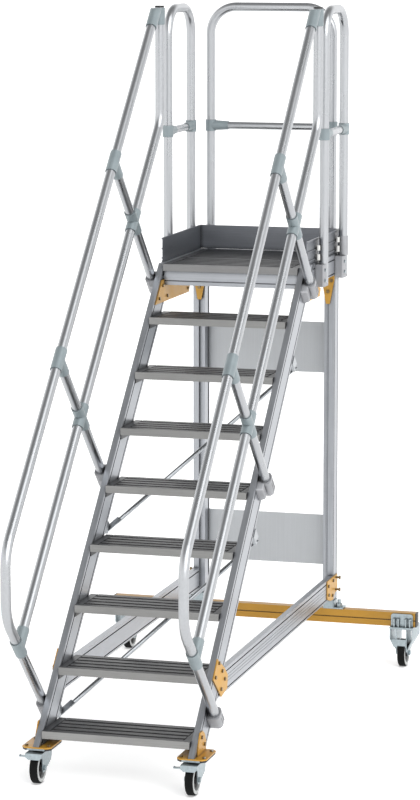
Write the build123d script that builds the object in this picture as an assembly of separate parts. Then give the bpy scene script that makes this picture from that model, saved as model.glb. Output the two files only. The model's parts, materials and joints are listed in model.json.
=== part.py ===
from build123d import *
import math
import os

# Rolling warehouse ladder: a 45 degree stair of eight treads and a railed platform,
# on two braked swivel casters in front and a wide castored beam behind.
# Millimetres, +Z up, +X to the climber's right, +Y away from the foot of the stair.
# Everything is laid out from the front top edge of the first tread (Y = 0) and is
# moved at export, so that the origin is the bottom centre of the whole ladder.

# ---------------------------------------------------------------- driving sizes
RISE = 208.0
GOING = 208.0
TREAD_COUNT = 8
TREAD_DEPTH = 225.0
TREAD_THICK = 30.0
CLEAR_HALF = 304.0            # half of the clear width between the stringers
PROFILE_WIDTH = 25.0          # X size of stringers, rails and platform beams
STRINGER_FRONT = 20.0         # stringer front face, measured square to the incline
STRINGER_DEEP = 118.0
DECK_Z = RISE * (TREAD_COUNT + 1)
DECK_FRONT = GOING * TREAD_COUNT
DECK_REAR = 2308.0
DECK_SEAM = 1944.0
BEAM_BOTTOM = 1780.0
TOE_TOP = 1979.0
TOE_FRONT = 1733.0
PLATFORM_REAR = 2338.0
TUBE_R = 20.0
TUBE_WALL = 2.0
KNEE_R = 16.5
RAIL_X = 354.5
GUARD_TOP = 2964.0            # axis of the top tube of the guard rails
GUARD_FRONT_Y = 1922.0
GUARD_REAR_Y = 2284.0
REAR_RAIL_X = 283.0
REAR_RAIL_Y = 2360.0
GUARD_BEND = 120.0
KNEE_Z = 2431.0
HAND_RISE = 1225.0            # handrail axis: z = y + HAND_RISE
MID_RISE = 683.0              # mid rail axis: z = y + MID_RISE
STRINGER_RISE = 96.0          # stringer centre line: z = y + STRINGER_RISE
HAND_FRONT_Y = -255.0
RETURN_SUM = 455.0            # lower return run of the handrail: y + z = RETURN_SUM
STRUT_SUMS = (2020.0, 3480.0)
HAND_END_Y = 1735.0
POST_A_Y = 1797.0             # upright end of the mid rail
POST_A_TOP = 2976.0
HAND_BEND = 170.0
MID_BEND = 110.0
CONNECTOR_R = 24.0
RAIL_BOTTOM = 309.0
RAIL_TOP = 407.0
SLOT = 5.0                    # width of the slots in the profiles
SLOT_DEEP = 8.0
LEG_FRONT = 2232.0
LEG_OUTER_REAR = 2310.0
LEG_FLANGE_Y = (2247.0, 2322.0)
LEG_INNER_X = 278.5
LEG_BOTTOM = 290.0
PANEL_Y = 2304.0
PANEL_SPANS = ((443.0, 673.0), (1327.0, 1557.0))
BEAM_HALF = 711.0
BEAM_Y = (2240.0, 2283.0)
BEAM_Z = (189.0, 253.0)
WHEEL_R = 62.5
WHEEL_WIDE = 32.0
AXLE_R = 6.0
RUN_CLEAR = 0.05              # radial clearance of every running fit
FORK_GAP = 21.0               # half of the gap between fork legs
STEEL = 4.0
FRONT_CASTER_X = 316.5
SWIVEL_Y = 46.0
FRONT_WHEEL_Y = -4.0
REAR_CASTER_X = 651.0
REAR_WHEEL_Y = 2275.0
FOOT_PLATE_Z = 145.0
FOOT_PLATE_THICK = 5.0
STRINGER_FOOT = FOOT_PLATE_Z + FOOT_PLATE_THICK

OUTER = CLEAR_HALF + PROFILE_WIDTH
ROOT2 = math.sqrt(2.0)
Y_LOW = HAND_FRONT_Y - TUBE_R
Y_HIGH = REAR_RAIL_Y + CONNECTOR_R
ORIGIN_SHIFT = Location((0, -(Y_LOW + Y_HIGH) / 2, 0))

os.makedirs("parts", exist_ok=True)
parts = {}


# ---------------------------------------------------------------- shape helpers
def block(x0, x1, y0, y1, z0, z1):
    """A box between two corners."""
    centre = ((x0 + x1) / 2, (y0 + y1) / 2, (z0 + z1) / 2)
    return Pos(*centre) * Box(x1 - x0, y1 - y0, z1 - z0)


def rod(start, end, radius):
    """A round bar between two points."""
    axis = Vector(*end) - Vector(*start)
    plane = Plane(origin=start, z_dir=axis)
    return plane * Cylinder(radius, axis.length, align=(Align.CENTER, Align.CENTER, Align.MIN))


def plate_yz(outline, x0, x1):
    """A flat plate whose outline lies in the YZ plane."""
    face = Plane.YZ * make_face(Polyline(*outline, close=True))
    return Pos(x0, 0, 0) * extrude(face, amount=x1 - x0)


def plate_xz(outline, y0, y1):
    """A flat plate whose outline lies in the XZ plane."""
    face = Plane.XZ * make_face(Polyline(*outline, close=True))
    return Pos(0, y1, 0) * extrude(face, amount=y1 - y0)


def swept(points, bend, radius):
    """A round bar along straight runs joined by tangent arcs."""
    path = FilletPolyline(*points, radius=bend)
    section = Plane(origin=path @ 0, z_dir=path % 0) * Circle(radius)
    return sweep(section, path=path)


def bent_tube(points, bend, radius=TUBE_R):
    return swept(points, bend, radius) - swept(points, bend, radius - TUBE_WALL)


def straight_tube(start, end, radius=TUBE_R):
    return rod(start, end, radius) - rod(start, end, radius - TUBE_WALL)


def mirrored(shape):
    return mirror(shape, about=Plane.YZ)


def both(shape):
    return [shape, mirrored(shape)]


def solids_of(shapes):
    """One compound that holds every solid of a list of shapes."""
    found = []
    for shape in shapes:
        found += list(shape.solids())
    return Compound(children=found)


def add(name, *shapes):
    """Store the pieces of one node."""
    parts[name] = solids_of(shapes)


def hex_head(place, size=13.0, thick=6.0):
    """A hexagon bolt head on a plane, standing along its normal."""
    return place * extrude(RegularPolygon(size / 2, 6, major_radius=False), amount=thick)


def side_head(y, z, x, size=13.0):
    """A bolt head on an outward side face at X = x."""
    return hex_head(Plane(origin=(x, y, z), x_dir=(0, 1, 0), z_dir=(1, 0, 0)), size)


def inward_head(y, z, x):
    """A bolt head on an inward side face at X = x."""
    return hex_head(Plane(origin=(x, y, z), x_dir=(0, 1, 0), z_dir=(-1, 0, 0)))


def front_head(x, z, y):
    """A bolt head on a front face at Y = y."""
    return hex_head(Plane(origin=(x, y, z), x_dir=(1, 0, 0), z_dir=(0, -1, 0)))


def top_head(x, y, z):
    """A bolt head on an upper face at Z = z."""
    return hex_head(Plane(origin=(x, y, z)))


def incline_y(z, square):
    """Y of the plane that lies `square` behind the nosing line, at height z."""
    return z - RISE + square * ROOT2


# ---------------------------------------------------------------- stair
def stringer():
    back = STRINGER_FRONT + STRINGER_DEEP

    def slab(front, rear, low, high, x0, x1):
        outline = [
            (incline_y(low, front), low),
            (incline_y(low, rear), low),
            (incline_y(high, rear), high),
            (incline_y(high, front), high),
        ]
        return plate_yz(outline, x0, x1)

    wall = 3.0
    solid_edge = 30.0
    body = slab(STRINGER_FRONT, back, STRINGER_FOOT, DECK_Z, CLEAR_HALF, OUTER)
    body -= slab(
        STRINGER_FRONT + solid_edge, back - solid_edge, STRINGER_FOOT + 4, DECK_Z - 4,
        CLEAR_HALF + wall, OUTER - wall,
    )
    for square in (STRINGER_FRONT + 14, back - 20):
        for x0 in (CLEAR_HALF, OUTER - SLOT_DEEP):
            body -= slab(square, square + SLOT + 2, STRINGER_FOOT, DECK_Z, x0, x0 + SLOT_DEEP)
    return body


add("stringer_right", stringer())
add("stringer_left", mirrored(stringer()))

RIB_HIGH = 3.5
RIB_PITCH = 43.0
RIB_WIDE = 30.0
NOSING_WIDE = 12.0
TREAD_HALF = CLEAR_HALF - 2.5
RIB_HALF = CLEAR_HALF - 34.0
BRACKET_DROP = 50.0
COVER_GAP = 4.0               # open joint between the ribs and the end bracket


def plank(y0, y1, top):
    """A hollow plank with flat ribs along its length and a full nosing in front."""
    base = top - RIB_HIGH
    low = top - TREAD_THICK
    body = block(-TREAD_HALF, TREAD_HALF, y0, y1, low, base)
    middle = (y0 + y1) / 2
    for a, b in ((y0 + 3, middle - 1.5), (middle + 1.5, y1 - 3)):
        body -= block(-TREAD_HALF, TREAD_HALF, a, b, low + 3, base - 3)
    count = int((y1 - y0 - RIB_WIDE) / RIB_PITCH) + 1
    pitch = (y1 - y0 - RIB_WIDE) / (count - 1)
    for i in range(count):
        y = y0 + i * pitch
        body += block(-RIB_HALF, RIB_HALF, y, y + RIB_WIDE, base, top)
    return body + block(-TREAD_HALF, TREAD_HALF, y0, y0 + NOSING_WIDE, base, top)


def end_bracket(y0, y1, top):
    """The angle that closes a plank's end and carries it on the stringer."""
    base = top - RIB_HIGH
    wall = block(TREAD_HALF, CLEAR_HALF, y0 + 10, y1 - 12, top - BRACKET_DROP, base)
    cover = block(RIB_HALF + COVER_GAP, CLEAR_HALF, y0 + NOSING_WIDE + 1, y1, base, top - 0.6)
    return wall + cover


brackets = []
for step in range(1, TREAD_COUNT + 1):
    y = (step - 1) * GOING
    z = step * RISE
    add(f"tread_{step}", plank(y, y + TREAD_DEPTH, z))
    brackets += both(end_bracket(y, y + TREAD_DEPTH, z))
for deck_front, deck_rear in ((DECK_FRONT, DECK_SEAM), (DECK_SEAM + 3, DECK_REAR)):
    brackets += both(end_bracket(deck_front, deck_rear, DECK_Z))
add("plank_end_brackets", *brackets)

# Round diagonal braces with flattened ends, held clear of the treads on lugs that are
# bolted to the back of the stringers.
BRACE_R = 9.0
BRACE_X = 322.0
BRACE_ENDS = ((250.0, 870.0), (880.0, 1500.0))
BRACE_TAB = (84.0, 24.0, 5.0)
LUG_REACH = 56.0
INCLINE_BACK = Vector(0, 1, -1).normalized()


def brace(z_left, z_right):
    back = STRINGER_FRONT + STRINGER_DEEP
    start = Vector(-BRACE_X, incline_y(z_left, back), z_left)
    end = Vector(BRACE_X, incline_y(z_right, back), z_right)
    along = (end - start).normalized()
    tab_long, tab_wide, tab_thick = BRACE_TAB
    pieces = []
    bar = None
    for point, way in ((start, along), (end, along * -1)):
        centre = point + way * (tab_long / 2 - 10) + INCLINE_BACK * (LUG_REACH + tab_thick / 2)
        tab = Plane(origin=centre, x_dir=along, z_dir=INCLINE_BACK) * Box(tab_long, tab_wide, tab_thick)
        bar = tab if bar is None else bar + tab
        lug_centre = point + INCLINE_BACK * (LUG_REACH / 2)
        lug = Plane(origin=lug_centre, x_dir=(1, 0, 0), z_dir=INCLINE_BACK) * Box(20, 44, LUG_REACH)
        pieces.append(lug)
    lift = INCLINE_BACK * (LUG_REACH + BRACE_R)
    inset = tab_long - 30
    bar += rod(start + along * inset + lift, end - along * inset + lift, BRACE_R)
    return [bar, *pieces]


braces = []
for z_left, z_right in BRACE_ENDS:
    braces += brace(z_left, z_right)
add("diagonal_braces", *braces)

# ---------------------------------------------------------------- platform
add(
    "deck_planks",
    plank(DECK_FRONT, DECK_SEAM, DECK_Z),
    plank(DECK_SEAM + 3, DECK_REAR, DECK_Z),
)

FRONT_BEAM_Y = (1676.0, 1706.0)
PLATE = 5.0
front_beam = block(
    -CLEAR_HALF + PLATE, CLEAR_HALF - PLATE, *FRONT_BEAM_Y, BEAM_BOTTOM, DECK_Z - TREAD_THICK
)
front_beam -= block(
    -CLEAR_HALF + PLATE, CLEAR_HALF - PLATE, FRONT_BEAM_Y[0] + 3, FRONT_BEAM_Y[1] - 3,
    BEAM_BOTTOM + 3, DECK_Z - TREAD_THICK - 3,
)
front_beam += block(-CLEAR_HALF + PLATE, CLEAR_HALF - PLATE, *FRONT_BEAM_Y, 1790, 1808)
front_beam -= block(-CLEAR_HALF, CLEAR_HALF, FRONT_BEAM_Y[0], FRONT_BEAM_Y[0] + SLOT, 1796, 1796 + SLOT)
add("platform_front_beam", front_beam)

STRINGER_BACK = STRINGER_FRONT + STRINGER_DEEP
side_outline = [
    (incline_y(DECK_Z, STRINGER_BACK), DECK_Z),
    (PLATFORM_REAR, DECK_Z),
    (PLATFORM_REAR, BEAM_BOTTOM),
    (incline_y(BEAM_BOTTOM, STRINGER_BACK), BEAM_BOTTOM),
]
side_beam = plate_yz(side_outline, CLEAR_HALF, OUTER)
side_beam -= block(CLEAR_HALF + 3, OUTER - 8, 1860, PLATFORM_REAR - 4, BEAM_BOTTOM + 3, DECK_Z - 3)
for z in (BEAM_BOTTOM + 8, 1850):
    side_beam -= block(OUTER - SLOT, OUTER, DECK_FRONT, PLATFORM_REAR, z - 3, z + 3)
add("platform_side_beam_right", side_beam)
add("platform_side_beam_left", mirrored(side_beam))
upper_beam = block(-CLEAR_HALF, CLEAR_HALF, DECK_REAR, PLATFORM_REAR, BEAM_BOTTOM, DECK_Z)
upper_beam -= block(
    -CLEAR_HALF, CLEAR_HALF, DECK_REAR + 3, PLATFORM_REAR - 3, BEAM_BOTTOM + 3, DECK_Z - 3
)
add("platform_rear_beam", upper_beam)

TOE_BOTTOM = DECK_Z + 1.0
TOE_WEB = 3.0
TOE_REACH = 6.5               # web and ridges together
TOE_RIDGES = (1890.0, 1931.0, TOE_TOP - 3.5)


def toe_board(half_length):
    """A thin kick board along X, its plain face at y = 0 and its ridges behind."""
    board = block(-half_length, half_length, 0, TOE_WEB, TOE_BOTTOM, TOE_TOP)
    for z in TOE_RIDGES:
        board += block(-half_length, half_length, TOE_WEB, TOE_REACH, z - 3.5, z + 3.5)
    return board + block(-half_length, half_length, 0, TOE_REACH, TOE_BOTTOM, TOE_BOTTOM + 3)


TOE_SIDE_REAR = PLATFORM_REAR - TOE_REACH
toe_side = toe_board((TOE_SIDE_REAR - TOE_FRONT) / 2).rotate(Axis.Z, -90)
toe_side = Pos(OUTER - TOE_REACH, (TOE_SIDE_REAR + TOE_FRONT) / 2, 0) * toe_side
add("toe_board_right", toe_side)
add("toe_board_left", mirrored(toe_side))
add("toe_board_rear", Pos(0, TOE_SIDE_REAR, 0) * toe_board(OUTER))

# ---------------------------------------------------------------- guard rails
POST_FOOT = BEAM_BOTTOM + 2.0


def side_guard():
    points = [
        (RAIL_X, GUARD_FRONT_Y, POST_FOOT),
        (RAIL_X, GUARD_FRONT_Y, GUARD_TOP),
        (RAIL_X, GUARD_REAR_Y, GUARD_TOP),
        (RAIL_X, GUARD_REAR_Y, POST_FOOT),
    ]
    return bent_tube(points, GUARD_BEND)


add("guard_rail_right", side_guard())
add("guard_rail_left", mirrored(side_guard()))
add(
    "guard_rail_rear",
    bent_tube(
        [
            (-REAR_RAIL_X, REAR_RAIL_Y, POST_FOOT),
            (-REAR_RAIL_X, REAR_RAIL_Y, GUARD_TOP),
            (REAR_RAIL_X, REAR_RAIL_Y, GUARD_TOP),
            (REAR_RAIL_X, REAR_RAIL_Y, POST_FOOT),
        ],
        GUARD_BEND,
    ),
)

KNEE_GAP = TUBE_R + 1.0
side_knee = straight_tube(
    (RAIL_X, GUARD_FRONT_Y + KNEE_GAP, KNEE_Z), (RAIL_X, GUARD_REAR_Y - KNEE_GAP, KNEE_Z), KNEE_R
)
rear_knee = straight_tube(
    (-REAR_RAIL_X + KNEE_GAP, REAR_RAIL_Y, KNEE_Z), (REAR_RAIL_X - KNEE_GAP, REAR_RAIL_Y, KNEE_Z), KNEE_R
)
add("knee_rails", *both(side_knee), rear_knee)


def knee_connector(x, y, way):
    """A tee that clips a knee rail to an upright post."""
    post_low = (x, y, KNEE_Z - 25)
    post_high = (x, y, KNEE_Z + 25)
    reach = 84.0
    far = (x + way[0] * 300, y + way[1] * 300, KNEE_Z)
    funnel = Plane(origin=(x, y, KNEE_Z), z_dir=(way[0], way[1], 0))
    funnel = funnel * Cone(CONNECTOR_R, KNEE_R + 2.5, reach, align=(Align.CENTER, Align.CENTER, Align.MIN))
    tee = rod(post_low, post_high, CONNECTOR_R) + funnel
    tee -= rod((x, y, KNEE_Z - 60), (x, y, KNEE_Z + 60), TUBE_R)
    gap = (x + way[0] * KNEE_GAP, y + way[1] * KNEE_GAP, KNEE_Z)
    return tee - rod(gap, far, KNEE_R)


add(
    "knee_rail_connectors",
    *both(knee_connector(RAIL_X, GUARD_FRONT_Y, (0, 1))),
    *both(knee_connector(RAIL_X, GUARD_REAR_Y, (0, -1))),
    *both(knee_connector(REAR_RAIL_X, REAR_RAIL_Y, (-1, 0))),
)

CLAMP_HALF = 42.0
CLAMP_SHIFT = -12.0           # the side clamps stand a little ahead of their posts
CLAMP_Z = (BEAM_BOTTOM - 11, DECK_Z - 6)
CLAMP_OUT = 41.0
CLAMP_BEND = 9.0


def clamp_block(x0, x1, y0, y1):
    """A cast block with rounded upright edges."""
    body = block(x0, x1, y0, y1, *CLAMP_Z)
    return fillet(body.edges().filter_by(Axis.Z), CLAMP_BEND)


def side_clamp(y):
    middle = y + CLAMP_SHIFT
    body = clamp_block(OUTER, OUTER + CLAMP_OUT, middle - CLAMP_HALF, middle + CLAMP_HALF)
    body += block(OUTER, OUTER + 12, middle - CLAMP_HALF, middle + CLAMP_HALF, *CLAMP_Z)
    return body - rod((RAIL_X, y, POST_FOOT), (RAIL_X, y, DECK_Z + 60), TUBE_R)


def rear_clamp(x):
    body = clamp_block(x - CLAMP_HALF, x + CLAMP_HALF, PLATFORM_REAR, PLATFORM_REAR + CLAMP_OUT)
    body += block(x - CLAMP_HALF, x + CLAMP_HALF, PLATFORM_REAR, PLATFORM_REAR + 12, *CLAMP_Z)
    return body - rod((x, REAR_RAIL_Y, POST_FOOT), (x, REAR_RAIL_Y, DECK_Z + 60), TUBE_R)


def post_sleeve(y):
    low = (RAIL_X, y, DECK_Z - 4)
    high = (RAIL_X, y, DECK_Z + 80)
    sleeve = rod(low, high, TUBE_R + 2.5) - rod((RAIL_X, y, DECK_Z - 40), (RAIL_X, y, DECK_Z + 120), TUBE_R)
    return sleeve - block(OUTER - 30, OUTER + 0.3, y - 60, y + 60, DECK_Z - 40, DECK_Z + 120)


add(
    "guard_rail_clamps",
    *both(side_clamp(GUARD_FRONT_Y)),
    *both(side_clamp(GUARD_REAR_Y)),
    *both(rear_clamp(REAR_RAIL_X)),
    *both(post_sleeve(GUARD_REAR_Y)),
)

SPACER_HEIGHTS = ((1884.0, 1910.0), (1927.0, 1949.0))
SPACER_R = 8.5
spacers = []
for post_y in (GUARD_FRONT_Y, GUARD_REAR_Y):
    for low, high in SPACER_HEIGHTS:
        y = post_y - TUBE_R - SPACER_R - 3.5
        spacers += both(rod((OUTER + SPACER_R, y, low), (OUTER + SPACER_R, y, high), SPACER_R))
add("post_spacers", *spacers)

# ---------------------------------------------------------------- handrails
GAP = 22.0                    # from a tube's axis to the end of one that meets it
RETURN_INSERT = 12.0          # how far the handrail's end passes the stringer's centre line


def rail_point(y, rise):
    return (RAIL_X, y, y + rise)


def along_slope(y, z, run, sign):
    """A point `run` along a 45 degree line that climbs (sign 1) or falls (sign -1)."""
    return (RAIL_X, y + run / ROOT2, z + sign * run / ROOT2)


RETURN_FOOT_Y = (RETURN_SUM - STRINGER_RISE) / 2
RETURN_END = along_slope(RETURN_FOOT_Y, RETURN_SUM - RETURN_FOOT_Y, RETURN_INSERT, -1)
hand_path = [
    RETURN_END,
    (RAIL_X, HAND_FRONT_Y, RETURN_SUM - HAND_FRONT_Y),
    (RAIL_X, HAND_FRONT_Y, HAND_FRONT_Y + HAND_RISE),
    rail_point(HAND_END_Y, HAND_RISE),
]
MID_LOW_Y = (RETURN_SUM - MID_RISE) / 2
MID_LOW_Z = MID_LOW_Y + MID_RISE
mid_path = [
    along_slope(MID_LOW_Y, MID_LOW_Z, GAP, 1),
    (RAIL_X, POST_A_Y, POST_A_Y + MID_RISE),
    (RAIL_X, POST_A_Y, POST_A_TOP),
]
handrail = bent_tube(hand_path, HAND_BEND)
mid_rail = bent_tube(mid_path, MID_BEND)
add("handrail_right", handrail)
add("handrail_left", mirrored(handrail))
add("mid_rail_right", mid_rail)
add("mid_rail_left", mirrored(mid_rail))

hand_bar = swept(hand_path, HAND_BEND, TUBE_R)
mid_bar = swept(mid_path, MID_BEND, TUBE_R)


def crossing(total, rise):
    """Where the line y + z = total meets the line z = y + rise."""
    y = (total - rise) / 2
    return y, y + rise


struts = []
connectors = []
feet = []
CUP_OUT = 51.0                # how far a strut foot stands out from the stringer
CUP_HALF = 30.0
CUP_BEND = 19.0
LOBE_OUT = 27.0
LOBE_TAPER = 14.0
LOBE_LONG = (-45.0, 34.0)
LOBE_SIDE = (16.0, 66.0)
RIB = 3.0
STRUT_CUP = (-38.0, 50.0)     # mouth and closed end, from the crossing with the stringer
RETURN_CUP = (-14.0, 58.0)
STRUT_INSERT = 0.0            # where the strut's own end lies inside its cup


def strut_foot(total, cup_span, lobed):
    """A cast cup around the end of a strut; a lobed one spreads down the stringer."""
    mouth, end = cup_span
    y, z = crossing(total, STRINGER_RISE)
    place = Plane(origin=(OUTER, y, z), x_dir=(1, 0, 0), z_dir=(0, 1, -1))
    cup = block(0, CUP_OUT, -CUP_HALF, CUP_HALF, mouth, end)
    outer_edges = [edge for edge in cup.edges().filter_by(Axis.Z) if edge.center().X > CUP_HALF]
    cup = fillet(outer_edges, CUP_BEND)
    cup = fillet(cup.edges().group_by(Axis.Z)[-1].filter_by(lambda edge: edge.center().X > 1), 8.0)
    foot = cup
    if lobed:
        middle = Pos(sum(LOBE_SIDE) / 2, sum(LOBE_LONG) / 2)
        base = Plane.YZ * middle * Rectangle(LOBE_SIDE[1] - LOBE_SIDE[0], LOBE_LONG[1] - LOBE_LONG[0])
        lobe = extrude(base, amount=LOBE_OUT, taper=LOBE_TAPER)
        foot += fillet([edge for edge in lobe.edges() if edge.center().X > 1], 7.0)
    for side in (-8.0, 8.0):
        foot += block(CUP_OUT - RIB, CUP_OUT + RIB / 2, side - 1.5, side + 1.5, mouth + 22, end - 10)
    return place * foot


for total in STRUT_SUMS:
    hand_y, hand_z = crossing(total, HAND_RISE)
    mid_y, mid_z = crossing(total, MID_RISE)
    foot_y, foot_z = crossing(total, STRINGER_RISE)
    upper = (along_slope(hand_y, hand_z, GAP, -1), along_slope(mid_y, mid_z, -GAP, -1))
    lower = (along_slope(mid_y, mid_z, GAP, -1), along_slope(foot_y, foot_z, STRUT_INSERT, -1))
    for run in (upper, lower):
        struts += both(straight_tube(*run))
    strut_bars = rod(*upper, TUBE_R) + rod(*lower, TUBE_R)
    tee = rod(along_slope(hand_y, hand_z, -52, 1), along_slope(hand_y, hand_z, 52, 1), CONNECTOR_R)
    tee += rod((RAIL_X, hand_y, hand_z), along_slope(hand_y, hand_z, 82, -1), CONNECTOR_R)
    cross = rod(along_slope(mid_y, mid_z, -56, 1), along_slope(mid_y, mid_z, 56, 1), CONNECTOR_R)
    cross += rod(along_slope(mid_y, mid_z, -66, -1), along_slope(mid_y, mid_z, 66, -1), CONNECTOR_R)
    connectors += both(tee - hand_bar - strut_bars)
    connectors += both(cross - mid_bar - strut_bars)
    feet += both(strut_foot(total, STRUT_CUP, True) - rod(*lower, TUBE_R))

low_node = (MID_LOW_Y, MID_LOW_Z)
low_tee = rod(along_slope(*low_node, -46, -1), along_slope(*low_node, 46, -1), CONNECTOR_R)
low_tee += rod(along_slope(*low_node, 0, 1), along_slope(*low_node, 84, 1), CONNECTOR_R)
connectors += both(low_tee - hand_bar - mid_bar)
feet += both(strut_foot(RETURN_SUM, RETURN_CUP, False) - hand_bar)

TOP_SLEEVE_Z = (2902.0, POST_A_TOP - 2)
top_elbow = rod((RAIL_X, POST_A_Y, TOP_SLEEVE_Z[0]), (RAIL_X, POST_A_Y, TOP_SLEEVE_Z[1]), CONNECTOR_R)
slant = rod(rail_point(HAND_END_Y - 66, HAND_RISE), rail_point(HAND_END_Y + 50, HAND_RISE), CONNECTOR_R)
top_elbow += slant & block(200, 500, 1500, POST_A_Y, 2800, TOP_SLEEVE_Z[1])
connectors += both(top_elbow - hand_bar - mid_bar)

add("handrail_struts", *struts)
add("handrail_connectors", *connectors)
add("strut_feet", *feet)

# ---------------------------------------------------------------- base frame
rail_outline = [
    (incline_y(RAIL_BOTTOM, STRINGER_BACK) + 3, RAIL_BOTTOM),
    (LEG_FRONT, RAIL_BOTTOM),
    (LEG_FRONT, RAIL_TOP),
    (incline_y(RAIL_TOP, STRINGER_BACK) + 3, RAIL_TOP),
]
base_rail = plate_yz(rail_outline, CLEAR_HALF, OUTER)
base_rail -= block(CLEAR_HALF + 3, OUTER - 3, 420, LEG_FRONT - 4, RAIL_BOTTOM + 18, RAIL_TOP - 24)
for z in (RAIL_BOTTOM + 8, RAIL_TOP - 19):
    for x0 in (CLEAR_HALF, OUTER - SLOT_DEEP):
        base_rail -= block(x0, x0 + SLOT_DEEP, 200, LEG_FRONT, z, z + SLOT)
for z in (345.0, 358.0, 371.0):
    base_rail -= block(OUTER - 1, OUTER, 200, LEG_FRONT, z, z + 2)
add("base_rail_right", base_rail)
add("base_rail_left", mirrored(base_rail))


def leg():
    """The outer profile of a rear leg, and the inner one that holds the panels."""
    cavity_z = (LEG_BOTTOM + 4, BEAM_BOTTOM - 4)
    flange_front, flange_rear = LEG_FLANGE_Y
    outer = block(CLEAR_HALF, OUTER, LEG_FRONT, LEG_OUTER_REAR, LEG_BOTTOM, BEAM_BOTTOM)
    outer -= block(CLEAR_HALF + 3, OUTER - 3, LEG_FRONT + 18, LEG_OUTER_REAR - 20, *cavity_z)
    for y in (LEG_FRONT + 5, LEG_OUTER_REAR - 13):
        outer -= block(OUTER - SLOT_DEEP, OUTER, y, y + SLOT + 2, LEG_BOTTOM, BEAM_BOTTOM)
    inner = block(LEG_INNER_X, CLEAR_HALF, flange_front, flange_rear, LEG_BOTTOM, BEAM_BOTTOM)
    inner -= block(LEG_INNER_X + 3, CLEAR_HALF - 3, flange_front + 3, PANEL_Y - 12, *cavity_z)
    inner -= block(LEG_INNER_X, LEG_INNER_X + 11, PANEL_Y - 8, PANEL_Y + 8, LEG_BOTTOM, BEAM_BOTTOM)
    return outer, inner


for side, place in (("right", lambda shape: shape), ("left", mirrored)):
    add(f"rear_leg_{side}", *[place(shape) for shape in leg()])
PANEL_HALF = LEG_INNER_X + 9
panels = [
    block(-PANEL_HALF, PANEL_HALF, PANEL_Y - 1, PANEL_Y + 1, low, high) for low, high in PANEL_SPANS
]
add("rear_panels", *panels)

# ---------------------------------------------------------------- gusset plates
OUT_PLATE = (OUTER, OUTER + PLATE)
IN_PLATE = (CLEAR_HALF - PLATE, CLEAR_HALF)
inner_gusset = plate_yz(
    [(1548, 1707), (1644, 1803), (1856, 1803), (2078, 1738), (2060, 1705)],
    *IN_PLATE,
)
leg_gusset = plate_xz(
    [(275, BEAM_BOTTOM), (OUTER, BEAM_BOTTOM), (OUTER, 1762), (308, 1650), (291, 1650), (275, 1734)],
    LEG_FRONT - PLATE, LEG_FRONT,
)

FRONT_GUSSET = [(292, 472), (389, 416), (439, 374), (432, 321), (344, 307), (229, 402)]
REAR_GUSSET = [(2112, 322), (2112, 404), (2302, 404), (2302, 325), (2257, 325), (2222, 298), (2172, 304)]
add(
    "gusset_plates",
    *both(inner_gusset),
    *both(leg_gusset),
    *both(plate_yz(FRONT_GUSSET, *OUT_PLATE)),
    *both(plate_yz(REAR_GUSSET, *OUT_PLATE)),
)

FOOT_HALF = 60.0
FOOT_Y = (-35.0, 131.0)
FOOT_CUT = 16.0


def octagon(grow=0.0):
    """Chamfered outline of the caster foot, in X and Y."""
    x0 = FRONT_CASTER_X - FOOT_HALF - grow
    x1 = FRONT_CASTER_X + FOOT_HALF + grow
    y0 = FOOT_Y[0] - grow
    y1 = FOOT_Y[1] + grow
    corners = [
        (x0 + FOOT_CUT, y0), (x1 - FOOT_CUT, y0), (x1, y0 + FOOT_CUT), (x1, y1 - FOOT_CUT),
        (x1 - FOOT_CUT, y1), (x0 + FOOT_CUT, y1), (x0, y1 - FOOT_CUT), (x0, y0 + FOOT_CUT),
    ]
    return make_face(Polyline(*corners, close=True))


foot_plate = Pos(0, 0, FOOT_PLATE_Z) * extrude(octagon(), amount=FOOT_PLATE_THICK)
flange_outline = [
    (8, STRINGER_FOOT - 1), (122, STRINGER_FOOT - 1), (125, 186), (108, 216),
    (80, 236), (46, 236), (18, 190),
]
foot_flange = plate_yz(flange_outline, *OUT_PLATE)
add("foot_brackets", *both(foot_plate + foot_flange))
PAD_Z = (137.0, FOOT_PLATE_Z)
TOP_PLATE_HALF = 37.0
caster_pad = Pos(0, 0, PAD_Z[0]) * extrude(octagon(-1.5), amount=PAD_Z[1] - PAD_Z[0])
caster_pad -= block(
    FRONT_CASTER_X - TOP_PLATE_HALF, FRONT_CASTER_X + TOP_PLATE_HALF, FOOT_Y[0] - 1, FOOT_Y[1] + 1,
    PAD_Z[0] - 1, PAD_Z[1] + 1,
)
add("caster_pads", *both(caster_pad))

# ---------------------------------------------------------------- rear beam
beam = block(-BEAM_HALF, BEAM_HALF, *BEAM_Y, *BEAM_Z)
beam -= block(-BEAM_HALF, BEAM_HALF, BEAM_Y[0] + 3, BEAM_Y[1] - 3, BEAM_Z[0] + 3, BEAM_Z[1] - 3)
beam += block(-BEAM_HALF, BEAM_HALF, BEAM_Y[0], BEAM_Y[0] + 10, 211, 226)
beam -= block(-BEAM_HALF, BEAM_HALF, BEAM_Y[0], BEAM_Y[0] + SLOT, 216, 216 + SLOT)
add("rear_beam", beam)

caps = both(block(BEAM_HALF, BEAM_HALF + 6, *BEAM_Y, *BEAM_Z))
cap_outline = [
    (incline_y(RAIL_BOTTOM - 3, STRINGER_BACK), RAIL_BOTTOM - 3),
    (incline_y(RAIL_BOTTOM - 3, STRINGER_BACK) + 3, RAIL_BOTTOM - 3),
    (incline_y(RAIL_TOP, STRINGER_BACK) + 3, RAIL_TOP),
    (incline_y(RAIL_TOP, STRINGER_BACK), RAIL_TOP),
]
caps += both(plate_yz(cap_outline, CLEAR_HALF, OUTER))
caps += both(rod((RAIL_X, POST_A_Y, POST_A_TOP), (RAIL_X, POST_A_Y, POST_A_TOP + 7), TUBE_R))
add("end_caps", *caps)

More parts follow.
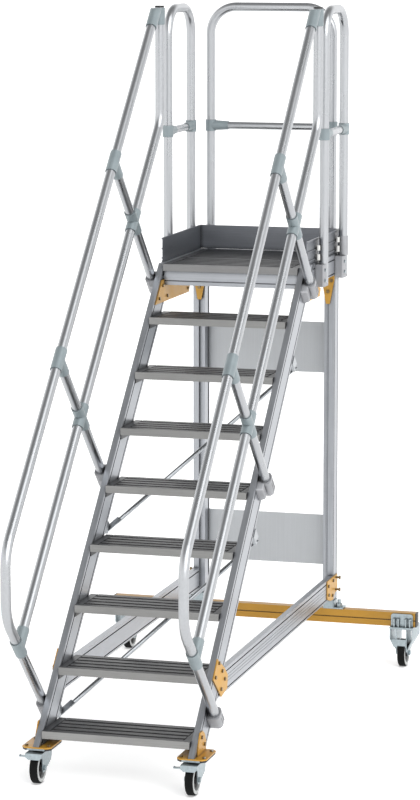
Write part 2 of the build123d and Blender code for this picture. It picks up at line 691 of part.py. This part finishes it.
CASTER_PLATE_HALF = 50.0
CASTER_LIP_HALF = 54.0
CASTER_LIP_Z = 183.0
LEG_BOLT = (353.0, 2262.0)
LEG_BOLT_R = 8.0
leg_clamp = block(284, 376, 2237, 2300, BEAM_Z[1], BEAM_Z[1] + 6)
leg_clamp += block(284, OUTER, 2237, 2300, BEAM_Z[1] + 6, LEG_BOTTOM)
leg_clamp += block(OUTER, OUTER + 5, 2240, 2300, BEAM_Z[1] + 6, LEG_BOTTOM)
leg_bolt = rod((*LEG_BOLT, BEAM_Z[1] + 6), (*LEG_BOLT, LEG_BOTTOM + 3), LEG_BOLT_R)
leg_bolt += rod((*LEG_BOLT, BEAM_Z[1] + 6), (*LEG_BOLT, BEAM_Z[1] + 9), 17)
leg_bolt += hex_head(Plane(origin=(*LEG_BOLT, BEAM_Z[1] + 9)), 26.0, 14.0)
caster_angle = block(
    REAR_CASTER_X - CASTER_PLATE_HALF, REAR_CASTER_X + CASTER_PLATE_HALF,
    BEAM_Y[0] - 6, BEAM_Y[0], CASTER_LIP_Z, BEAM_Z[1] - 4,
)
top_corners = caster_angle.edges().filter_by(Axis.Y).group_by(Axis.Z)[-1]
caster_angle = fillet(top_corners, 12.0)
caster_angle += block(
    REAR_CASTER_X - CASTER_LIP_HALF, REAR_CASTER_X + CASTER_LIP_HALF,
    BEAM_Y[0] - 24, REAR_WHEEL_Y + 54, CASTER_LIP_Z, BEAM_Z[0],
)
add("beam_brackets", *both(leg_clamp), *both(leg_bolt), *both(caster_angle))

# ---------------------------------------------------------------- casters
HUB_HALF = 20.0
RIM_R = 47.0
FLANGE_R = 56.5
FLANGE_THICK = 1.4
HEAD_R = 34.0
CROWN_Z = (127.0, 131.0)
CROWN_Y = (-58.0, 90.0)
CROWN_HALF = 34.0
SKIRT_Z = 106.0
RACE_GAP = 0.4
RACE_TOP = PAD_Z[0] - RACE_GAP
LEVER_PIN_R = 3.0
LEVER_X = -40.0               # pin of the brake lever, from the swivel axis
LEVER_Y = 8.0
LEVER_Z = 100.0
LEVER_TIP = -81.0
PEDAL_HALF = 8.5


def wheel_parts(x, y):
    """The tyre and the rim of one wheel."""
    along_x = Plane(origin=(x, y, WHEEL_R), z_dir=(1, 0, 0))
    tyre = Cylinder(WHEEL_R, WHEEL_WIDE)
    tyre = fillet(tyre.edges(), 5.0) - Cylinder(RIM_R, WHEEL_WIDE)
    rim = Cylinder(RIM_R, WHEEL_WIDE)
    flange = Cylinder(FLANGE_R, FLANGE_THICK)
    for side in (1, -1):
        rim += Pos(0, 0, side * (WHEEL_WIDE + FLANGE_THICK) / 2) * flange
    for side in (1, -1):
        rim -= Pos(0, 0, side * (WHEEL_WIDE / 2 - 4)) * (Cylinder(RIM_R - 3, 12) - Cylinder(17, 12))
    rim += Cylinder(15, 2 * HUB_HALF)
    rim -= Cylinder(AXLE_R + RUN_CLEAR, 3 * HUB_HALF)
    return along_x * tyre, along_x * rim


def axle(x, y):
    """An axle bolt with its head and its nut."""
    out = FORK_GAP + STEEL
    bar = rod((x - out, y, WHEEL_R), (x + out, y, WHEEL_R), AXLE_R)
    for side in (1, -1):
        place = Plane(origin=(x + side * out, y, WHEEL_R), x_dir=(0, 1, 0), z_dir=(side, 0, 0))
        bar += hex_head(place, 18.0, 8.0)
    return bar


def fork_legs(x, y, outline):
    """Two pressed legs, drilled for the axle."""
    legs = plate_yz(outline, x + FORK_GAP, x + FORK_GAP + STEEL)
    legs += plate_yz(outline, x - FORK_GAP - STEEL, x - FORK_GAP)
    return legs - rod((x - 40, y, WHEEL_R), (x + 40, y, WHEEL_R), AXLE_R)


def front_fork(x):
    """A pressed fork with a boxed front, and the pin of its brake lever."""
    axle_y = FRONT_WHEEL_Y
    front, rear = CROWN_Y
    leg_outline = [
        (axle_y - 16, CROWN_Z[1]), (rear, CROWN_Z[1]), (rear, 92), (rear - 12, 74),
        (axle_y + 12, 46), (axle_y - 8, 45), (axle_y - 16, 56),
    ]
    fork = fork_legs(x, axle_y, leg_outline)
    fork += block(x - FORK_GAP - STEEL, x + FORK_GAP + STEEL, front, rear, *CROWN_Z)
    fork += block(x - CROWN_HALF, x + CROWN_HALF, front, -10, *CROWN_Z)
    for x0 in (x - CROWN_HALF, x + CROWN_HALF - STEEL):
        fork += block(x0, x0 + STEEL, front, -10, SKIRT_Z + 6, CROWN_Z[1])
    skirt = [
        (x - CROWN_HALF, CROWN_Z[1]), (x + CROWN_HALF, CROWN_Z[1]), (x + CROWN_HALF, SKIRT_Z + 10),
        (x + CROWN_HALF - 12, SKIRT_Z), (x - CROWN_HALF + 12, SKIRT_Z), (x - CROWN_HALF, SKIRT_Z + 10),
    ]
    fork += plate_xz(skirt, front - STEEL, front)
    fork += Pos(x, SWIVEL_Y, (CROWN_Z[0] + RACE_TOP) / 2) * Cylinder(HEAD_R, RACE_TOP - CROWN_Z[0])
    pin_x = x + LEVER_X
    for y0 in (LEVER_Y - 13, LEVER_Y + 9):
        fork += block(pin_x - 5, x - FORK_GAP, y0, y0 + 4, LEVER_Z - 5, LEVER_Z + 5)
    fork -= Pos(x, SWIVEL_Y, CROWN_Z[0]) * Cylinder(AXLE_R + RUN_CLEAR, 40)
    pin = rod((pin_x, LEVER_Y - 13, LEVER_Z), (pin_x, LEVER_Y + 13, LEVER_Z), LEVER_PIN_R)
    return fork - pin, pin


def brake_lever(x):
    """A foot pedal that turns on a pin beside the fork."""
    pin_x = x + LEVER_X
    z = LEVER_Z
    knuckle = rod((pin_x, LEVER_Y - PEDAL_HALF, z), (pin_x, LEVER_Y + PEDAL_HALF, z), 5.0)
    sides = (LEVER_Y - PEDAL_HALF, LEVER_Y + PEDAL_HALF)
    pedal = block(x + LEVER_TIP, pin_x, *sides, z - 1.5, z + 2.5)
    tip = block(x + LEVER_TIP, x + LEVER_TIP + 4, *sides, z - 1.5, z + 5)
    bore = rod((pin_x, LEVER_Y - 20, z), (pin_x, LEVER_Y + 20, z), LEVER_PIN_R + RUN_CLEAR)
    return knuckle + pedal + tip - bore


for side, x in (("right", FRONT_CASTER_X), ("left", -FRONT_CASTER_X)):
    fork, pin = front_fork(x)
    add(f"front_fork_{side}", fork, pin, axle(x, FRONT_WHEEL_Y))
    tyre, rim = wheel_parts(x, FRONT_WHEEL_Y)
    add(f"front_tyre_{side}", tyre)
    add(f"front_rim_{side}", rim)
    add(f"brake_lever_{side}", brake_lever(x))

PIN_HEAD = 3.6
top_plates = []
for x in (FRONT_CASTER_X, -FRONT_CASTER_X):
    top = block(
        x - TOP_PLATE_HALF + 0.5, x + TOP_PLATE_HALF - 0.5, FOOT_Y[0] + 1.5, FOOT_Y[1] - 1.5, *PAD_Z
    )
    head_top = CROWN_Z[0] - RACE_GAP
    top += rod((x, SWIVEL_Y, head_top), (x, SWIVEL_Y, PAD_Z[0]), AXLE_R)
    top += rod((x, SWIVEL_Y, head_top - PIN_HEAD), (x, SWIVEL_Y, head_top), 10)
    top_plates.append(top)
add("caster_top_plates", *top_plates)

REAR_WEB_Z = (CASTER_LIP_Z - STEEL, CASTER_LIP_Z)
HOUSING_HALF = 54.0           # half of the rear fork's width under the beam
REAR_FORK_Y = (REAR_WHEEL_Y - 52.0, REAR_WHEEL_Y + 96.0)


def housing_outline(inset, low):
    """Front outline of the rear fork: upright sides that taper to the axle."""
    half = HOUSING_HALF - inset
    foot = FORK_GAP + STEEL - inset
    top = REAR_WEB_Z[1] - inset
    right = [(half, top), (half, 134), (foot, 78), (foot, low)]
    left = [(-x, z) for x, z in reversed(right)]
    return [(REAR_CASTER_X + x, z) for x, z in right + left]


# Side outline of the rear fork, in Y from the axle and in Z.
REAR_FORK_SIDE = [
    (-52, REAR_WEB_Z[1]), (96, REAR_WEB_Z[1]), (96, 140), (80, 104),
    (40, 72), (12, 46), (-8, 45), (-20, 56), (-52, 112),
]
side_outline = [(REAR_WHEEL_Y + y, z) for y, z in REAR_FORK_SIDE]
side_mask = plate_yz(side_outline, REAR_CASTER_X - 60, REAR_CASTER_X + 60)
shell = plate_xz(housing_outline(0, 30), *REAR_FORK_Y)
shell -= plate_xz(housing_outline(STEEL, 20), REAR_WHEEL_Y - 60, REAR_WHEEL_Y + 100)
rear_fork = shell & side_mask
for x0 in (REAR_CASTER_X - FORK_GAP - STEEL, REAR_CASTER_X + FORK_GAP):
    rear_fork += block(x0, x0 + STEEL, REAR_WHEEL_Y - 50, REAR_WHEEL_Y + 60, 74, REAR_WEB_Z[0])
bridge = plate_xz(housing_outline(0, 30), REAR_FORK_Y[0], REAR_FORK_Y[0] + STEEL)
bridge_span = block(REAR_CASTER_X - 44, REAR_CASTER_X + FORK_GAP, REAR_WHEEL_Y - 60, REAR_WHEEL_Y, 96, 132)


def rear_axle_line(half, radius):
    """A bar on the axle line of the right rear wheel."""
    low = (REAR_CASTER_X - half, REAR_WHEEL_Y, WHEEL_R)
    high = (REAR_CASTER_X + half, REAR_WHEEL_Y, WHEEL_R)
    return rod(low, high, radius)


rear_fork += bridge & bridge_span
rear_fork -= rear_axle_line(18, WHEEL_R + 3)
rear_fork -= rear_axle_line(60, AXLE_R)
rear_pieces = [rear_fork, axle(REAR_CASTER_X, REAR_WHEEL_Y)]
add("rear_caster_forks", *rear_pieces, *[mirrored(piece) for piece in rear_pieces])
for side, x in (("right", REAR_CASTER_X), ("left", -REAR_CASTER_X)):
    tyre, rim = wheel_parts(x, REAR_WHEEL_Y)
    add(f"rear_tyre_{side}", tyre)
    add(f"rear_rim_{side}", rim)

# ---------------------------------------------------------------- bolts
PLATE_OUT = OUTER + PLATE
SIDE_BOLTS = [
    (309, 452), (354, 410), (391, 369), (337, 340), (256, 406),
    (2130, 380), (2218, 388), (2136, 338), (2206, 322),
    (62, 214), (100, 178),
]
LONG_BOLTS = [(2270, 393), (2266, 338)]
INNER_BOLTS = [(1600, 1728), (1652, 1780), (1720, 1728), (1780, 1796), (1880, 1794), (2040, 1724)]
LEG_TOP_BOLTS = [(290, 1752), (316, 1756), (300, 1706)]
CLAMP_BOLT_Z = (1796, 1842)
STUD_REACH = 15.0             # from the beam's front face to the caster studs
STUD_TOP = 222.0
bolts = []
for y, z in SIDE_BOLTS:
    bolts += both(side_head(y, z, PLATE_OUT))
for y, z in LONG_BOLTS:
    bolts += both(rod((PLATE_OUT, y, z), (PLATE_OUT + 16, y, z), 5))
    bolts += both(side_head(y, z, PLATE_OUT + 16, 16.0))
for y, z in INNER_BOLTS:
    bolts += both(inward_head(y, z, CLEAR_HALF - PLATE))
for x, z in LEG_TOP_BOLTS:
    bolts += both(front_head(x, z, LEG_FRONT - PLATE))
for x in (-34, -15, 20, 38):
    stud_x = REAR_CASTER_X + x
    stud_y = BEAM_Y[0] - STUD_REACH
    bolts += both(rod((stud_x, stud_y, BEAM_Z[0]), (stud_x, stud_y, STUD_TOP), 4))
    bolts += both(top_head(stud_x, stud_y, STUD_TOP))
for y in (GUARD_FRONT_Y, GUARD_REAR_Y):
    for z in CLAMP_BOLT_Z:
        bolts += both(side_head(y + CLAMP_SHIFT - 28, z, OUTER + CLAMP_OUT))
for dx in (-46, 46):
    for dy in (-56, 52):
        bolts += both(top_head(FRONT_CASTER_X + dx, SWIVEL_Y + 2 + dy, STRINGER_FOOT))
add("frame_bolts", *bolts)

# ---------------------------------------------------------------- export
for name, shape in parts.items():
    export_step(ORIGIN_SHIFT * shape, f"parts/{name}.step")
print(len(parts), "nodes")
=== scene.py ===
import json
import math

import bpy
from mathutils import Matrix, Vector

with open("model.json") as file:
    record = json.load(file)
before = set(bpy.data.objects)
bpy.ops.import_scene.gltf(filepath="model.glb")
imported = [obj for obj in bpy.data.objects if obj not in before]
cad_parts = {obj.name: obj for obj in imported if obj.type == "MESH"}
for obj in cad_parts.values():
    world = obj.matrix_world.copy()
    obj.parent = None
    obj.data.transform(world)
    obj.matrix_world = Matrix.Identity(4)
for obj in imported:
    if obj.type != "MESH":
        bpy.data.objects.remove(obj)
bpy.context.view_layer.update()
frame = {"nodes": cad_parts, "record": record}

NODES = frame["nodes"]
RECORD = frame["record"]

# ---------------------------------------------------------------- camera
# The viewpoint stands in front of the stair, to the climber's right.
CAMERA_PLACE = (3.586, -12.298, 3.382)
CAMERA_TURN = 15.892          # degrees to the left of straight ahead
CAMERA_DOWN = 8.892           # degrees below level
LENS = 140.2
SENSOR_WIDE = 36.0
SIGHT_END = 400.0

camera_data = bpy.data.cameras.new("camera")
camera_data.lens = LENS
camera_data.sensor_width = SENSOR_WIDE
camera_data.clip_end = SIGHT_END
camera = bpy.data.objects.new("camera", camera_data)
camera.location = CAMERA_PLACE
camera.rotation_euler = (math.radians(90 - CAMERA_DOWN), 0, math.radians(CAMERA_TURN))
bpy.context.scene.collection.objects.link(camera)
bpy.context.scene.camera = camera

# ---------------------------------------------------------------- colours
EXTRUSION = (0.385, 0.40, 0.426)
DRAWN = (0.44, 0.452, 0.468)
# tread and deck: the tops take a dark copy as painted shade, fronts and sides a pale copy as
# painted light; it is one metal
TREAD_TOP_PAINTED_SHADE = (0.080, 0.080, 0.083)
TREAD_SIDE_PAINTED_LIGHT = (0.25, 0.25, 0.245)
DECK_TOP_PAINTED_SHADE = (0.032, 0.034, 0.037)
DECK_SIDE_PAINTED_LIGHT = (0.23, 0.23, 0.23)
BRACKET = (0.060, 0.061, 0.064)
PANEL = (0.42, 0.435, 0.45)
TOE_REAR = (0.20, 0.21, 0.23)
TOE_SIDE = (0.17, 0.18, 0.20)
CONNECTOR = (0.225, 0.265, 0.28)
CAST_FOOT = (0.325, 0.33, 0.345)
BRACE = (0.40, 0.42, 0.44)
GOLD = (0.46, 0.235, 0.025)
# one gold paint: the rear beam takes a darker copy as painted shade, the plates a paler copy
# as painted light
GOLD_BEAM_PAINTED_SHADE = (0.37, 0.19, 0.018)
GOLD_PLATE_PAINTED_LIGHT = (0.50, 0.27, 0.045)
ZINC = (0.345, 0.40, 0.423)
BOLT_ZINC = (0.36, 0.41, 0.43)
BOLT_ON_GOLD = (0.26, 0.19, 0.10)
BLACK = (0.012, 0.012, 0.014)
WHITE = (0.62, 0.62, 0.60)
TYRE = (0.0045, 0.005, 0.005)
WHEEL_FLANGE = (0.38, 0.39, 0.385)
WHEEL_WEB = (0.02, 0.02, 0.021)
FLOOR_DARK = (0.925, 0.925, 0.925)
FLOOR_LIGHT = (0.945, 0.945, 0.945)
# colour of the painted shade put into slots and joints
PAINTED_SHADE_COLOUR = (0.012, 0.013, 0.016)
FULL_WHITE = (1.0, 1.0, 1.0, 1)

# ---------------------------------------------------------------- shader helpers
PAINTED_SHADE_KEEP = 0.12            # how much of the base colour is left under the painted shade deep in a slot
PAINTED_SHADE_SAMPLES = 6
NOISE_ROUGH = 0.55
FINE_SHARE = 0.35             # height of the fine grain beside the streaks of brushed metal
RUBBER_SPECULAR = 0.08
MIX_DARK = 6                  # sockets of the mix node when it mixes colours
MIX_LIGHT = 7
MIX_RESULT = 2
PLATE_BOLTS_X = 0.366         # bolts nearer the middle than this sit on gold plates
WHEEL_MIDDLE = 0.5            # places on the wheel centre, as shares of its breadth
WEB_EDGE = 0.370
FLANGE_EDGE = 0.385

LONG = 0.02                   # scale along the grain, which draws the noise out into streaks
ALONG_X = ((LONG, 1, 1), 0)
ALONG_Y = ((1, LONG, 1), 0)
ALONG_Z = ((1, 1, LONG), 0)
ALONG_SLOPE = ((1, LONG, 1), -45)
ALONG_STRUT = ((1, LONG, 1), 45)


class Shader:
    """A node material with a principled surface and short ways to add nodes."""

    def __init__(self, name, metallic, roughness):
        self.material = bpy.data.materials.new(name)
        self.material.use_nodes = True
        self.tree = self.material.node_tree
        self.surface = self.tree.nodes["Principled BSDF"]
        self.surface.inputs["Metallic"].default_value = metallic
        self.surface.inputs["Roughness"].default_value = roughness

    def node(self, kind, **values):
        made = self.tree.nodes.new("ShaderNode" + kind)
        for key, value in values.items():
            if key in made.inputs:
                made.inputs[key].default_value = value
            else:
                setattr(made, key, value)
        return made

    def link(self, start, end):
        self.tree.links.new(start, end)

    def fill(self, socket, value):
        """Give a socket a number, a colour or the output of another node."""
        if isinstance(value, tuple):
            socket.default_value = (*value, 1)
        elif isinstance(value, (int, float)):
            socket.default_value = value
        else:
            self.link(value, socket)

    def place(self, scale=(1, 1, 1), turn=0.0):
        """Object coordinates, turned about X by some degrees and then scaled."""
        place = self.node("TexCoord").outputs["Object"]
        for key, value in (("Rotation", (math.radians(turn), 0, 0)), ("Scale", scale)):
            mapping = self.node("Mapping")
            mapping.inputs[key].default_value = value
            self.link(place, mapping.inputs["Vector"])
            place = mapping.outputs["Vector"]
        return place

    def axes(self, vector):
        """The X, Y and Z of a vector, as the outputs of a node."""
        split = self.node("SeparateXYZ")
        self.link(vector, split.inputs["Vector"])
        return split.outputs

    def noise(self, place, scale, detail):
        made = self.node("TexNoise", Scale=scale, Detail=detail, Roughness=NOISE_ROUGH)
        self.link(place, made.inputs["Vector"])
        return made.outputs["Fac"]

    def spread(self, value, low=0.0, high=1.0, from_low=0.3, from_high=0.7):
        """Map the stretch from_low to from_high of a value onto low to high."""
        made = self.node("MapRange")
        made.inputs["From Min"].default_value = from_low
        made.inputs["From Max"].default_value = from_high
        made.inputs["To Min"].default_value = low
        made.inputs["To Max"].default_value = high
        self.link(value, made.inputs["Value"])
        return made.outputs["Result"]

    def mix(self, factor, dark, light):
        made = self.node("Mix", data_type="RGBA")
        self.fill(made.inputs[MIX_DARK], dark)
        self.fill(made.inputs[MIX_LIGHT], light)
        self.link(factor, made.inputs[0])
        return made.outputs[MIX_RESULT]

    def tones(self, factor, base, dark, light):
        """A base colour between two strengths of itself."""
        return self.mix(factor, scaled(base, dark), scaled(base, light))

    def math(self, operation, first, second=0.0):
        made = self.node("Math", operation=operation)
        self.fill(made.inputs[0], first)
        self.fill(made.inputs[1], second)
        return made.outputs[0]

    def blend(self, first, second, share):
        """A share of the first value with the rest of the second."""
        part = self.math("MULTIPLY", first, share)
        rest = self.math("MULTIPLY", second, round(1 - share, 2))
        return self.math("ADD", part, rest)

    def colour(self, value, reach=0.016, low=0.25, high=0.80):
        """Base colour with painted shade: darkened in slots and where parts meet, by an
        ambient occlusion term.
        """
        # painted shade: the ambient occlusion term darkens the colour where faces close in
        near = self.node("AmbientOcclusion", Distance=reach, samples=PAINTED_SHADE_SAMPLES)
        unshaded_share = self.spread(near.outputs["AO"], PAINTED_SHADE_KEEP, 1.0, low, high)
        self.link(self.mix(unshaded_share, PAINTED_SHADE_COLOUR, value), self.surface.inputs["Base Color"])

    def roughness(self, value):
        self.link(value, self.surface.inputs["Roughness"])

    def bump(self, height, strength, distance=0.0004):
        made = self.node("Bump", Strength=strength, Distance=distance)
        self.link(height, made.inputs["Height"])
        self.link(made.outputs["Normal"], self.surface.inputs["Normal"])


def scaled(colour, factor):
    return tuple(min(1.0, c * factor) for c in colour)


# ---------------------------------------------------------------- materials
def brushed(name, base, grain, metallic, rough, streak=260.0, contrast=0.10, bump=0.05):
    """Metal with fine drawn streaks along its grain."""
    s = Shader(name, metallic, rough)
    streaks = s.noise(s.place(*grain), scale=streak, detail=3.0)
    cloud = s.noise(s.place(), scale=6.0, detail=5.0)
    fine = s.noise(s.place(), scale=900.0, detail=2.0)
    both = s.blend(streaks, cloud, share=0.65)
    shade = s.spread(both, from_low=0.35, from_high=0.65)
    tone = s.tones(shade, base, 1 - contrast, 1 + contrast)
    s.colour(tone, reach=0.02, low=0.40, high=0.93)
    s.roughness(s.spread(both, low=rough - 0.06, high=rough + 0.08))
    height = s.math("ADD", streaks, s.math("MULTIPLY", fine, FINE_SHARE))
    s.bump(height, bump, distance=0.0006)
    return s.material


def drawn_tube(name, grain):
    """Bright drawn tube: smooth, with faint long streaks in colour and clouds in gloss."""
    s = Shader(name, metallic=1.0, roughness=0.28)
    streaks = s.noise(s.place(*grain), scale=120.0, detail=2.0)
    cloud = s.noise(s.place(), scale=5.0, detail=3.0)
    tone = s.tones(s.spread(streaks), DRAWN, dark=0.96, light=1.03)
    s.colour(tone, reach=0.006, low=0.3, high=0.7)
    s.roughness(s.spread(cloud, low=0.25, high=0.32))
    return s.material


def cast(name, base, metallic, rough, grain=420.0, bump=0.25):
    """A cast or moulded surface with a fine grain and cloudy colour."""
    s = Shader(name, metallic, rough)
    grains = s.noise(s.place(), scale=grain, detail=4.0)
    cloud = s.noise(s.place(), scale=14.0, detail=4.0)
    s.colour(s.tones(s.spread(cloud), base, dark=0.90, light=1.08))
    s.roughness(s.spread(grains, low=rough - 0.05, high=rough + 0.08))
    s.bump(grains, bump)
    return s.material


def coated(name, base, rough):
    """Satin coat with faint orange peel and duller, paler wear."""
    s = Shader(name, metallic=0.25, roughness=rough)
    peel = s.noise(s.place(), scale=260.0, detail=2.0)
    cloud = s.noise(s.place(), scale=9.0, detail=5.0)
    s.colour(s.tones(s.spread(cloud), base, dark=0.90, light=1.07))
    s.roughness(s.spread(cloud, low=rough - 0.07, high=rough + 0.10))
    s.bump(peel, strength=0.12, distance=0.0005)
    return s.material


def zinc_plate(name, base, near=None):
    """Zinc plate; with `near`, what lies close to the middle of the part takes that tint."""
    s = Shader(name, metallic=0.95, roughness=0.33)
    cells = s.node("TexVoronoi", Scale=90.0)
    s.link(s.place(), cells.inputs["Vector"])
    cloud = s.noise(s.place(), scale=40.0, detail=4.0)
    spangle = s.blend(cells.outputs["Distance"], cloud, share=0.5)
    shade = s.spread(spangle, from_low=0.2, from_high=0.7)
    tone = s.tones(shade, base, dark=0.86, light=1.10)
    if near is not None:
        side = s.math("ABSOLUTE", s.axes(s.place())["X"])
        tone = s.mix(s.math("GREATER_THAN", side, PLATE_BOLTS_X), near, tone)
    s.colour(tone)
    s.roughness(s.spread(cloud, low=0.26, high=0.44))
    s.bump(s.noise(s.place(), scale=500.0, detail=3.0), strength=0.08)
    return s.material


def tread_metal(name, top_painted_shade, side_painted_light):
    """Dull ribbed aluminium with painted light and shade by facing: the top painted dark as
    shade, the front and sides paler as painted light.
    """
    s = Shader(name, metallic=0.65, roughness=0.42)
    facing = s.axes(s.node("NewGeometry").outputs["Normal"])
    # painted light and shade by facing: upward faces take the dark top colour, the others the
    # paler side colour
    painted_facing_mask = s.spread(facing["Z"], from_low=0.3, from_high=0.8)
    streaks = s.noise(s.place(*ALONG_X), scale=300.0, detail=3.0)
    cloud = s.noise(s.place(), scale=8.0, detail=5.0)
    both = s.blend(streaks, cloud, share=0.6)
    shade = s.spread(both, from_low=0.35, from_high=0.65)
    top = s.tones(shade, top_painted_shade, dark=0.82, light=1.18)
    side = s.tones(shade, side_painted_light, dark=0.9, light=1.1)
    s.colour(s.mix(painted_facing_mask, side, top), reach=0.02, low=0.45, high=1.0)
    s.roughness(s.spread(both, low=0.36, high=0.52))
    s.bump(streaks, strength=0.06, distance=0.0006)
    return s.material


def rubber(name, base):
    """Dull black rubber, a little paler and rougher where it is scuffed."""
    s = Shader(name, metallic=0.0, roughness=0.62)
    s.surface.inputs["Specular IOR Level"].default_value = RUBBER_SPECULAR
    grain = s.noise(s.place(), scale=380.0, detail=5.0)
    scuff = s.noise(s.place(), scale=30.0, detail=5.0)
    worn = s.spread(scuff, from_low=0.4, from_high=0.75)
    s.colour(s.tones(worn, base, dark=1.0, light=1.9))
    s.roughness(s.spread(scuff, low=0.52, high=0.78))
    s.bump(grain, strength=0.25)
    return s.material


def wheel_centre(name, flange, web):
    """Moulded wheel centre: a pale flange around a dark web, told apart by radius."""
    s = Shader(name, metallic=0.05, roughness=0.42)
    place = s.axes(s.node("TexCoord").outputs["Generated"])
    across = s.math("POWER", s.math("SUBTRACT", place["Y"], WHEEL_MIDDLE), 2.0)
    upright = s.math("POWER", s.math("SUBTRACT", place["Z"], WHEEL_MIDDLE), 2.0)
    radius = s.math("SQRT", s.math("ADD", across, upright))
    outer = s.spread(radius, from_low=WEB_EDGE, from_high=FLANGE_EDGE)
    cloud = s.noise(s.place(), scale=30.0, detail=4.0)
    pale = s.tones(s.spread(cloud), flange, dark=0.92, light=1.06)
    dark = s.tones(s.spread(cloud), web, dark=0.8, light=1.4)
    s.colour(s.mix(outer, dark, pale))
    s.bump(cloud, strength=0.10)
    return s.material


def extrusion(name, grain, metallic=0.85, rough=0.36):
    return brushed(name, EXTRUSION, grain, metallic, rough)


SLOTS = {
    "tube": drawn_tube("drawn_tube", ALONG_Z),
    "tread": tread_metal("tread_metal", TREAD_TOP_PAINTED_SHADE, TREAD_SIDE_PAINTED_LIGHT),
    "bracket": brushed("mill_bracket", BRACKET, ALONG_Y, metallic=0.7, rough=0.40),
    "panel": brushed(
        "panel_sheet", PANEL, ALONG_Z, metallic=0.55, rough=0.42,
        streak=200.0, contrast=0.04, bump=0.02,
    ),
    "connector": cast("connector_moulding", CONNECTOR, metallic=0.30, rough=0.38),
    "casting": cast("cast_foot", CAST_FOOT, metallic=0.55, rough=0.46, grain=300.0, bump=0.30),
    "brace": brushed("brace_rod", BRACE, ALONG_X, metallic=0.95, rough=0.30),
    "gold_paint": coated("gold_coat", GOLD, rough=0.38),
    "zinc": zinc_plate("zinc_plate", ZINC),
    "bolt": zinc_plate("bolt_zinc", BOLT_ZINC, near=BOLT_ON_GOLD),
    "black_plastic": cast("black_moulding", BLACK, metallic=0.0, rough=0.45),
    "light_plastic": cast("white_moulding", WHITE, metallic=0.0, rough=0.45),
    "tyre": rubber("tyre_rubber", TYRE),
    "rim": wheel_centre("wheel_centre", WHEEL_FLANGE, WHEEL_WEB),
}
SLOPE_TUBE = drawn_tube("drawn_tube_slope", ALONG_SLOPE)

# Parts whose name starts like this take these instead; the first match counts.
SPECIAL = {
    "stringer": extrusion("extrusion_slope", ALONG_SLOPE, metallic=0.9, rough=0.34),
    "base_rail": extrusion("extrusion_rail", ALONG_Y),
    "platform_side": extrusion("extrusion_side", ALONG_Y),
    "rear_leg": extrusion("extrusion_leg", ALONG_Z),
    "platform": extrusion("extrusion_beam", ALONG_X),
    "handrail_right": SLOPE_TUBE,
    "handrail_left": SLOPE_TUBE,
    "mid_rail": SLOPE_TUBE,
    "handrail_struts": drawn_tube("drawn_tube_strut", ALONG_STRUT),
    "toe_board_rear": brushed("toe_rear", TOE_REAR, ALONG_X, metallic=0.8, rough=0.36),
    "toe_board": brushed("toe_side", TOE_SIDE, ALONG_Y, metallic=0.8, rough=0.36),
    "deck_planks": tread_metal("deck_metal", DECK_TOP_PAINTED_SHADE, DECK_SIDE_PAINTED_LIGHT),
    # darker and paler copies of the gold paint, as painted shade on the beam and painted light
    # on the plates
    "rear_beam": coated("gold_beam", GOLD_BEAM_PAINTED_SHADE, rough=0.38),
    "gusset_plates": coated("gold_plate", GOLD_PLATE_PAINTED_LIGHT, rough=0.40),
}


def material_for(name, slot):
    for start, material in SPECIAL.items():
        if name.startswith(start):
            return material
    return SLOTS[slot]


for part in RECORD["subparts"]:
    material = material_for(part["node"], part["material_slot"])
    for place in NODES[part["node"]].material_slots:
        place.material = material

# ---------------------------------------------------------------- floor
FLOOR_HALF = 120.0
FLOOR_LIFT = 0.38             # own light, which keeps the shadows on the floor faint

floor_mesh = bpy.data.meshes.new("floor")
corners = [(-FLOOR_HALF, -FLOOR_HALF, 0), (FLOOR_HALF, -FLOOR_HALF, 0),
           (FLOOR_HALF, FLOOR_HALF, 0), (-FLOOR_HALF, FLOOR_HALF, 0)]
floor_mesh.from_pydata(corners, [], [(0, 1, 2, 3)])
floor = bpy.data.objects.new("floor", floor_mesh)
bpy.context.scene.collection.objects.link(floor)

paint = Shader("floor_paint", metallic=0.0, roughness=0.85)
speckle = paint.spread(paint.noise(paint.place(), scale=30.0, detail=3.0))
# the floor's colour also takes the painted shade close to the parts standing on it
paint.colour(paint.mix(speckle, FLOOR_DARK, FLOOR_LIGHT))
paint.surface.inputs["Emission Color"].default_value = FULL_WHITE
paint.surface.inputs["Emission Strength"].default_value = FLOOR_LIFT
floor_mesh.materials.append(paint.material)

# ---------------------------------------------------------------- light
# A soft studio dome: bright around the sides and grey overhead.
RING_LIGHT = 1.45
RING_TOP = 0.25               # height on the dome, from 0 at the horizon to 1 overhead
CROWN_LIGHT = 0.38
CROWN_FOOT = 0.85
SUN_LIGHT = 1.9
SUN_BREADTH = 60.0            # degrees, wide enough for soft shadows
SUN_DIRECTION = (-0.62, 0.45, -0.64)

world = bpy.data.worlds.new("studio")
world.use_nodes = True
tree = world.node_tree
dome_place = tree.nodes.new("ShaderNodeTexCoord")
dome_split = tree.nodes.new("ShaderNodeSeparateXYZ")
dome_range = tree.nodes.new("ShaderNodeMapRange")
dome_range.interpolation_type = "SMOOTHSTEP"
dome_range.inputs["From Min"].default_value = RING_TOP
dome_range.inputs["From Max"].default_value = CROWN_FOOT
dome_range.inputs["To Min"].default_value = RING_LIGHT
dome_range.inputs["To Max"].default_value = CROWN_LIGHT
tree.links.new(dome_place.outputs["Generated"], dome_split.inputs["Vector"])
tree.links.new(dome_split.outputs["Z"], dome_range.inputs["Value"])
tree.links.new(dome_range.outputs["Result"], tree.nodes["Background"].inputs["Strength"])
tree.nodes["Background"].inputs["Color"].default_value = FULL_WHITE
bpy.context.scene.world = world
bpy.context.scene.view_settings.view_transform = "Standard"

sun_data = bpy.data.lights.new("soft_sun", "SUN")
sun_data.energy = SUN_LIGHT
sun_data.angle = math.radians(SUN_BREADTH)
sun = bpy.data.objects.new("soft_sun", sun_data)
sun.rotation_euler = Vector(SUN_DIRECTION).to_track_quat("-Z", "Y").to_euler()
bpy.context.scene.collection.objects.link(sun)
